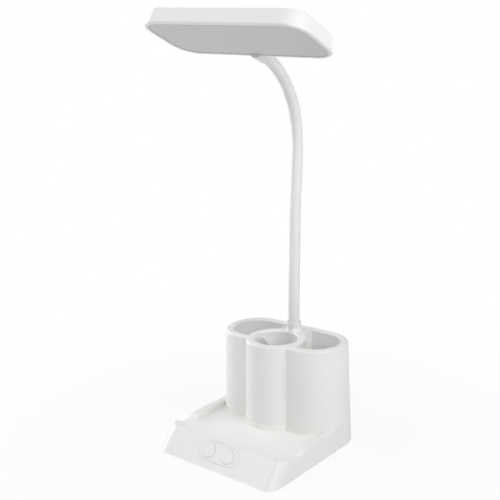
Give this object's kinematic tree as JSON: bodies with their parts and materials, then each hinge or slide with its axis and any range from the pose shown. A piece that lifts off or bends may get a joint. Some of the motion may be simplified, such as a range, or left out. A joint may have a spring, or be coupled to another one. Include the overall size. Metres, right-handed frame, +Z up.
{
  "type": "desk lamp with organiser base",
  "caption": "Desk lamp with a flexible neck on a base that has a shallow tray, a telephone slot across its side rims, a block of pen cups and a pencil sharpener.",
  "frame": {"origin": "on the table, midway across and along the base's footprint, in the plane of its feet", "axes": "+Z up, +Y towards the rear where the neck stands, +X to the right seen from the front"},
  "size_m": [0.15, 0.132, 0.3632],
  "materials": {
    "white_plastic": "satin",
    "grey_plastic": "matte",
    "sleeve": "satin",
    "rubber": "matte",
    "diffuser": "satin",
    "clear_plastic": "gloss",
    "film": "matte",
    "board": "satin",
    "lead": "satin",
    "steel": "brushed",
    "cell": "satin",
    "switch": "matte"
  },
  "bodies": {
    "base": {"housing": "white_plastic", "left_cup": "white_plastic", "centre_cup": "white_plastic", "right_cup": "white_plastic", "base_plate": "grey_plastic", "rubber_feet": "rubber", "base_screws": "steel", "ballast": "steel", "battery_cell": "cell", "cell_cradle": "grey_plastic", "cell_contacts": "steel", "charge_board": "board", "charge_socket": "steel", "button_panel": "white_plastic", "button_switches": "switch", "control_board": "board", "board_screws": "steel", "sharpener_body": "grey_plastic", "sharpener_blade": "steel", "sharpener_screw": "steel", "neck_core_root": "steel", "neck_sleeve": "sleeve", "neck_lead": "lead", "neck_ferrule": "steel", "neck_washer": "steel", "neck_collar": "white_plastic"},
    "left_button": {"left_button": "white_plastic"},
    "right_button": {"right_button": "white_plastic"},
    "neck_1": {"neck_core_1": "steel"},
    "neck_2": {"neck_core_2": "steel"},
    "neck_3": {"neck_core_3": "steel"},
    "neck_4": {"neck_core_4": "steel"},
    "neck_5": {"neck_core_5": "steel"},
    "neck_6": {"neck_core_6": "steel"},
    "neck_7": {"neck_core_7": "steel"},
    "head": {"head_housing": "white_plastic", "diffuser": "diffuser", "light_guide": "clear_plastic", "reflector": "film", "guide_plate": "white_plastic", "led_board": "board", "leds": "film", "head_screws": "steel", "head_clamp": "steel", "neck_core_head": "steel"}
  },
  "joints": [
    {"name": "neck_lower_bend", "type": "hinge", "parent": "base", "child": "neck_1", "pos_m": [0, 0.0474, 0.097], "axis": [1, 0, 0], "range_deg": [-15, 15], "deforming": ["neck_sleeve", "neck_lead"]},
    {"name": "neck_side_bend", "type": "hinge", "parent": "neck_1", "child": "neck_2", "pos_m": [0, 0.04807, 0.12759], "axis": [0, 0.999, -0.0436], "range_deg": [-15, 15], "deforming": ["neck_sleeve", "neck_lead"]},
    {"name": "neck_lower_bend_2", "type": "hinge", "parent": "neck_2", "child": "neck_3", "pos_m": [0, 0.0494, 0.15816], "axis": [1, 0, 0], "range_deg": [-15, 15], "deforming": ["neck_sleeve", "neck_lead"]},
    {"name": "neck_side_bend_2", "type": "hinge", "parent": "neck_3", "child": "neck_4", "pos_m": [0, 0.05074, 0.18873], "axis": [0, 0.999, -0.0436], "range_deg": [-15, 15], "deforming": ["neck_sleeve", "neck_lead"]},
    {"name": "neck_upper_bend", "type": "hinge", "parent": "neck_4", "child": "neck_5", "pos_m": [0, 0.0529, 0.21925], "axis": [1, 0, 0], "range_deg": [-15, 12], "deforming": ["neck_sleeve", "neck_lead"]},
    {"name": "neck_upper_bend_2", "type": "hinge", "parent": "neck_5", "child": "neck_6", "pos_m": [0, 0.0553, 0.24976], "axis": [1, 0, 0], "range_deg": [-15, 12], "deforming": ["neck_sleeve", "neck_lead"]},
    {"name": "neck_upper_bend_3", "type": "hinge", "parent": "neck_6", "child": "neck_7", "pos_m": [0, 0.05209, 0.28005], "axis": [1, 0, 0], "range_deg": [-15, 12], "deforming": ["neck_sleeve", "neck_lead"]},
    {"name": "neck_upper_bend_4", "type": "hinge", "parent": "neck_7", "child": "head", "pos_m": [0, 0.03815, 0.30705], "axis": [1, 0, 0], "range_deg": [-15, 12], "deforming": ["neck_sleeve", "neck_lead"]},
    {"name": "left_button_press", "type": "slide", "parent": "base", "child": "left_button", "axis": [0, 0.7613, -0.6484], "range_m": [0, 0.0006], "stiffness_N_per_m": 600, "springref_m": -0.0006},
    {"name": "right_button_press", "type": "slide", "parent": "base", "child": "right_button", "axis": [0, 0.7613, -0.6484], "range_m": [0, 0.0006], "stiffness_N_per_m": 600, "springref_m": -0.0006}
  ],
  "couplings": [
    {"joint": "neck_lower_bend_2", "follows": "neck_lower_bend", "ratio": 1},
    {"joint": "neck_side_bend_2", "follows": "neck_side_bend", "ratio": 1},
    {"joint": "neck_upper_bend_2", "follows": "neck_upper_bend", "ratio": 1},
    {"joint": "neck_upper_bend_3", "follows": "neck_upper_bend", "ratio": 1},
    {"joint": "neck_upper_bend_4", "follows": "neck_upper_bend", "ratio": 1}
  ]
}
